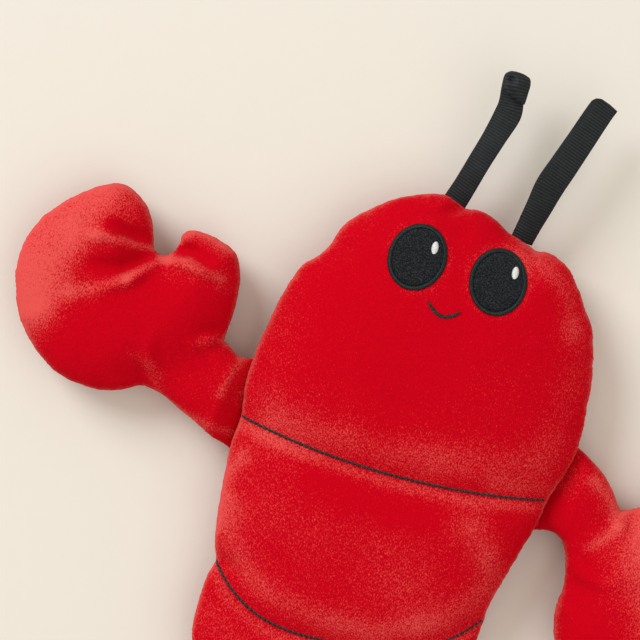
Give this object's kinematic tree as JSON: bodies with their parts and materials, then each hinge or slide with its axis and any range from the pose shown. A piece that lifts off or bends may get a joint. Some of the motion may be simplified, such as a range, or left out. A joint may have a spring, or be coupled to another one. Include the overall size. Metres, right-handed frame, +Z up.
{
  "type": "plush lobster toy",
  "caption": "Stuffed plush lobster lying flat, face up: tail that folds in segments, arms that swing, claws that fold, felt eyes and springy ribbon antennae.",
  "frame": {"origin": "on the table under the middle of the head and chest, on the body's centreline", "axes": "+Z up out of the table, through the face; +Y along the body towards the head; +X to the right as seen from above"},
  "size_m": [0.4776, 0.4838, 0.0577],
  "materials": {
    "plush": "short brushed polyester pile, red",
    "filling": "loose polyester fibre, white",
    "felt": "black felt with a fine fuzz",
    "black_thread": "glossy near-black embroidery thread",
    "white_thread": "glossy white embroidery thread",
    "ribbon": "black grosgrain ribbon, ribbed across"
  },
  "bodies": {
    "carapace": {"carapace_front_panel": "plush", "carapace_back_panel": "plush", "carapace_filling": "filling", "eye_left_patch": "felt", "eye_left_border": "black_thread", "eye_left_highlight": "white_thread", "eye_right_patch": "felt", "eye_right_border": "black_thread", "eye_right_highlight": "white_thread", "mouth_stitching": "black_thread", "topstitch_1": "black_thread"},
    "abdomen_1": {"abdomen_1_front_panel": "plush", "abdomen_1_back_panel": "plush", "abdomen_1_filling": "filling", "topstitch_2": "black_thread"},
    "abdomen_2": {"abdomen_2_front_panel": "plush", "abdomen_2_back_panel": "plush", "abdomen_2_filling": "filling", "topstitch_3": "black_thread"},
    "tail_fan": {"tail_fan_front_panel": "plush", "tail_fan_back_panel": "plush", "tail_fan_filling": "filling"},
    "arm_left": {"arm_left_front_panel": "plush", "arm_left_back_panel": "plush", "arm_left_filling": "filling"},
    "arm_right": {"arm_right_front_panel": "plush", "arm_right_back_panel": "plush", "arm_right_filling": "filling"},
    "claw_left": {"claw_left_front_panel": "plush", "claw_left_back_panel": "plush", "claw_left_filling": "filling"},
    "claw_right": {"claw_right_front_panel": "plush", "claw_right_back_panel": "plush", "claw_right_filling": "filling"},
    "antenna_left": {"antenna_left_ribbon": "ribbon"},
    "antenna_right": {"antenna_right_ribbon": "ribbon"}
  },
  "joints": [
    {"name": "abdomen_1_fold", "type": "hinge", "parent": "carapace", "child": "abdomen_1", "pos_m": [0, -0.0757, 0.0231], "axis": [-0.9984, -0.0558, 0], "range_deg": [-35, 50]},
    {"name": "abdomen_2_fold", "type": "hinge", "parent": "abdomen_1", "child": "abdomen_2", "pos_m": [0, -0.168, 0.0214], "axis": [-0.9936, -0.1132, 0], "range_deg": [-35, 50]},
    {"name": "tail_fan_fold", "type": "hinge", "parent": "abdomen_2", "child": "tail_fan", "pos_m": [0, -0.239, 0.0173], "axis": [-0.9976, -0.0698, 0], "range_deg": [-40, 50]},
    {"name": "arm_left_swing", "type": "hinge", "parent": "carapace", "child": "arm_left", "pos_m": [-0.101, -0.066, 0.02], "axis": [0, 0, 1], "range_deg": [-8, 71]},
    {"name": "arm_right_swing", "type": "hinge", "parent": "carapace", "child": "arm_right", "pos_m": [0.101, -0.066, 0.02], "axis": [0, 0, 1], "range_deg": [-8, 71]},
    {"name": "claw_left_fold", "type": "hinge", "parent": "arm_left", "child": "claw_left", "pos_m": [-0.133, -0.0575, 0.02], "axis": [0.673, 0.7396, 0], "range_deg": [-20, 60]},
    {"name": "claw_right_fold", "type": "hinge", "parent": "arm_right", "child": "claw_right", "pos_m": [0.1255, -0.0824, 0.02], "axis": [-0.3371, -0.9415, 0], "range_deg": [-20, 60]},
    {"name": "antenna_left_flex", "type": "hinge", "parent": "carapace", "child": "antenna_left", "pos_m": [-0.0134, 0.0845, 0.0247], "axis": [1, 0, 0], "range_deg": [-50, 80], "stiffness_Nm_per_rad": 0.01},
    {"name": "antenna_right_flex", "type": "hinge", "parent": "carapace", "child": "antenna_right", "pos_m": [0.0314, 0.0792, 0.0247], "axis": [1, 0, 0], "range_deg": [-50, 80], "stiffness_Nm_per_rad": 0.01}
  ]
}
